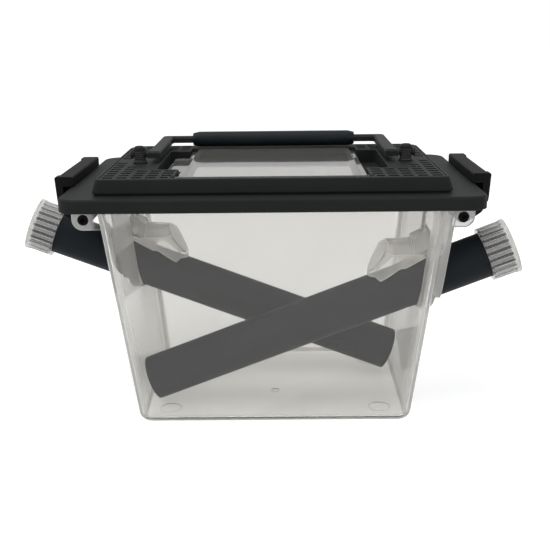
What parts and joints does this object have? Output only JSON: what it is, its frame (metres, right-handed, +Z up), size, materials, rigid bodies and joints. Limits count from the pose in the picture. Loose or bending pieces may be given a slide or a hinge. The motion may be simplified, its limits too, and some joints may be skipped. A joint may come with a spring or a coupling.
{
  "type": "cricket breeding box",
  "caption": "Clear tapered keeping tank with a black vented lid, hinged window door, carrying handle, end latches and sloping capped tubes that draw insects out.",
  "frame": {"origin": "on the ground under the middle of the tank", "axes": "+X to the right along the box, +Y to the back, +Z up"},
  "size_m": [0.2225, 0.11, 0.1138],
  "materials": {
    "clear_plastic": "clear moulded",
    "window_plastic": "clear moulded",
    "cap_plastic": "clear moulded, fluted",
    "black_plastic": "satin moulded",
    "grip_plastic": "satin moulded",
    "tube_plastic": "matte extruded"
  },
  "bodies": {
    "box": {"tank": "clear_plastic", "lid_frame": "black_plastic", "lid_top": "black_plastic", "handle_post_left": "black_plastic", "handle_post_right": "black_plastic", "flap_pin_left": "clear_plastic", "flap_pin_right": "clear_plastic"},
    "handle": {"handle_bail": "black_plastic", "handle_grip": "grip_plastic"},
    "window_door": {"window_door": "window_plastic"},
    "latch_right": {"latch_right": "black_plastic"},
    "latch_left": {"latch_left": "black_plastic"},
    "tube_right": {"tube_right": "tube_plastic"},
    "tube_left": {"tube_left": "tube_plastic"},
    "tube_cap_right": {"tube_cap_right": "cap_plastic"},
    "tube_cap_left": {"tube_cap_left": "cap_plastic"},
    "port_flap_right": {"port_flap_right": "clear_plastic"},
    "port_flap_left": {"port_flap_left": "clear_plastic"}
  },
  "joints": [
    {"name": "handle_swing", "type": "hinge", "parent": "box", "child": "handle", "pos_m": [0, -0.0065, 0.1102], "axis": [1, 0, 0], "range_deg": [0, 180]},
    {"name": "door_swing", "type": "hinge", "parent": "box", "child": "window_door", "pos_m": [0, -0.042, 0.1039], "axis": [1, 0, 0], "range_deg": [0, 100]},
    {"name": "right_latch_swing", "type": "hinge", "parent": "box", "child": "latch_right", "pos_m": [0.079, 0, 0.086], "axis": [0, 1, 0], "range_deg": [0, 60]},
    {"name": "right_tube_slide", "type": "slide", "parent": "box", "child": "tube_right", "axis": [0.9336, 0, 0.3584], "range_m": [0, 0.15]},
    {"name": "right_cap_slide", "type": "slide", "parent": "tube_right", "child": "tube_cap_right", "axis": [0.9336, 0, 0.3584], "range_m": [0, 0.025]},
    {"name": "right_flap_swing", "type": "hinge", "parent": "box", "child": "port_flap_right", "pos_m": [0.06874, -0.017, 0.07162], "axis": [0, 1, 0], "range_deg": [0, 40]},
    {"name": "left_latch_swing", "type": "hinge", "parent": "box", "child": "latch_left", "pos_m": [-0.079, 0, 0.086], "axis": [0, -1, 0], "range_deg": [0, 60]},
    {"name": "left_tube_slide", "type": "slide", "parent": "box", "child": "tube_left", "axis": [-0.9336, 0, 0.3584], "range_m": [0, 0.15]},
    {"name": "left_cap_slide", "type": "slide", "parent": "tube_left", "child": "tube_cap_left", "axis": [-0.9336, 0, 0.3584], "range_m": [0, 0.025]},
    {"name": "left_flap_swing", "type": "hinge", "parent": "box", "child": "port_flap_left", "pos_m": [-0.06874, 0.017, 0.07162], "axis": [0, -1, 0], "range_deg": [0, 40]}
  ]
}
